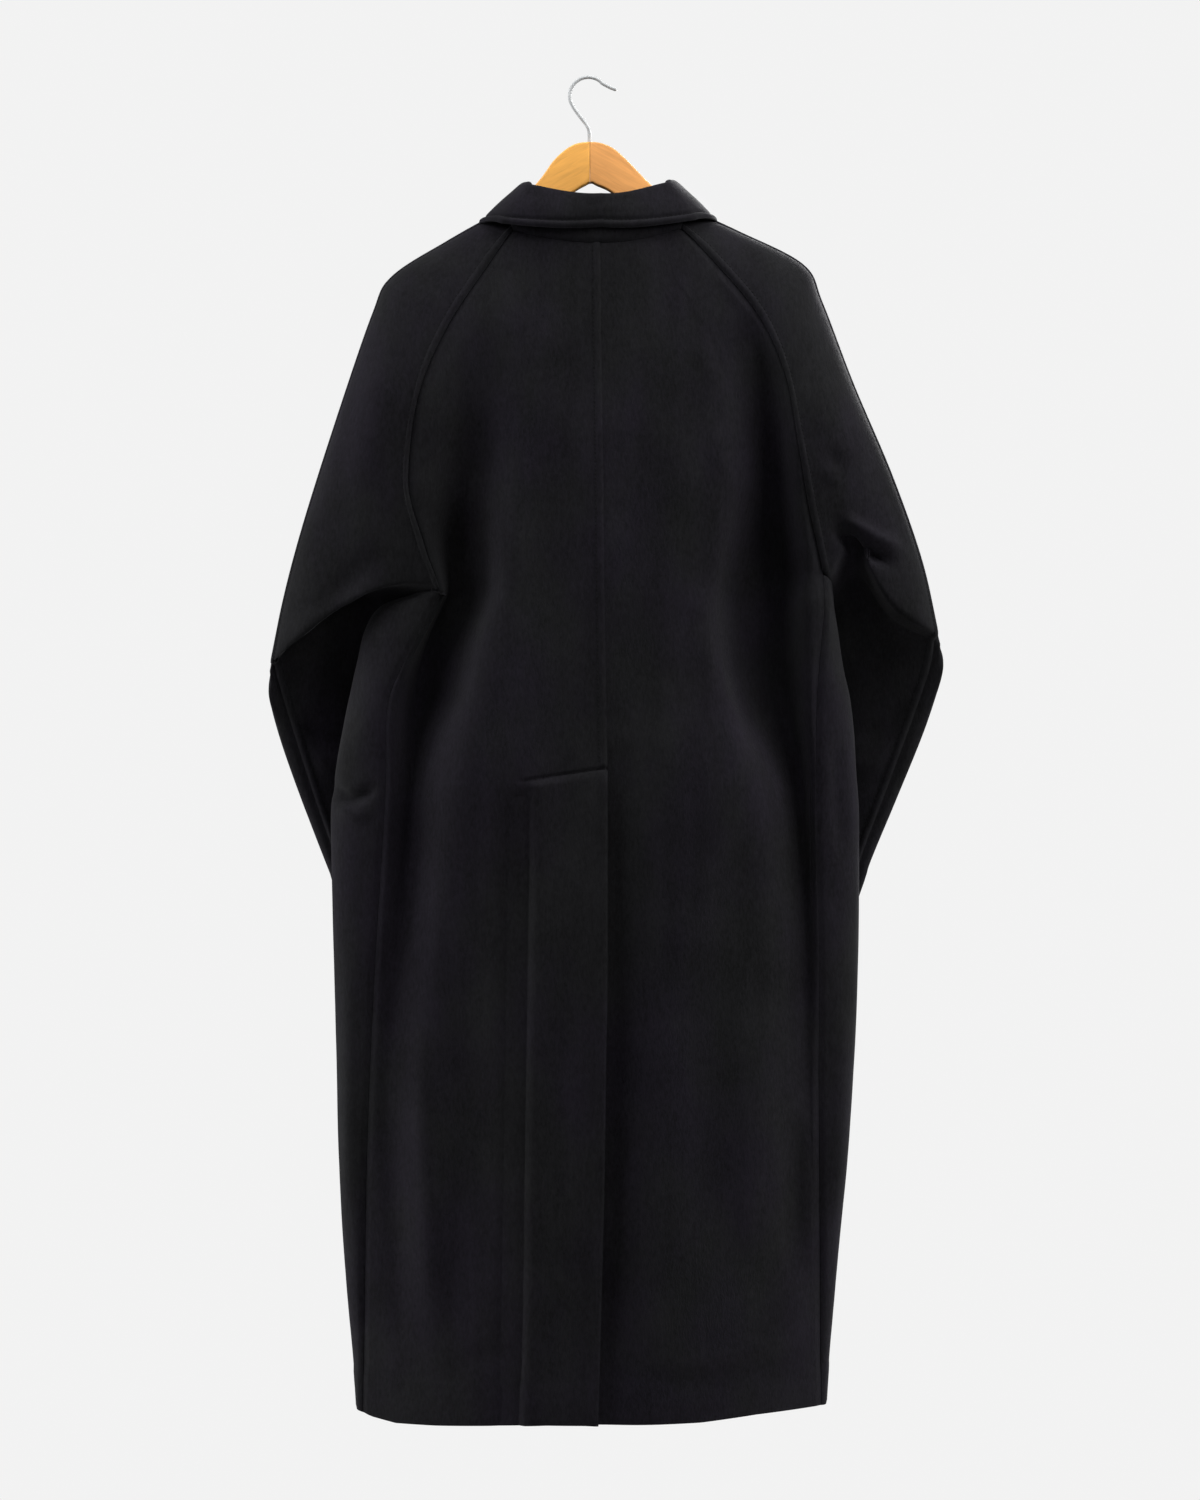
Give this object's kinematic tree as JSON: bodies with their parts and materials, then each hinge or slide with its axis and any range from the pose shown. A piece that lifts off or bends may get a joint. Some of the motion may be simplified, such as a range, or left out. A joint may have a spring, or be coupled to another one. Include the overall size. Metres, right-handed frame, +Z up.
{
  "type": "raglan coat on a hanger",
  "caption": "Long dark wool raglan coat with fall collar, back vent and buttoned front, hanging on a flat wooden hanger with a wire hook.",
  "frame": {"origin": "where the hook's inner top bears on what holds it", "axes": "+Z up, -Y the way the coat's back faces, -X the wearer's left"},
  "size_m": [0.6768, 0.1774, 1.3305],
  "materials": {
    "wool": "black fulled wool with a short nap",
    "button": "black, dull polish",
    "wood": "clear varnished",
    "steel": "bright zinc plated wire"
  },
  "bodies": {
    "root": {"back_left": "wool", "back_right": "wool", "front_left": "wool", "front_right": "wool", "sleeve_left_back": "wool", "sleeve_left_front": "wool", "sleeve_right_back": "wool", "sleeve_right_front": "wool", "collar_stand": "wool", "collar_fall": "wool", "button_1": "button", "button_2": "button", "button_3": "button", "button_4": "button", "hanger": "wood", "hook": "steel"}
  },
  "joints": []
}
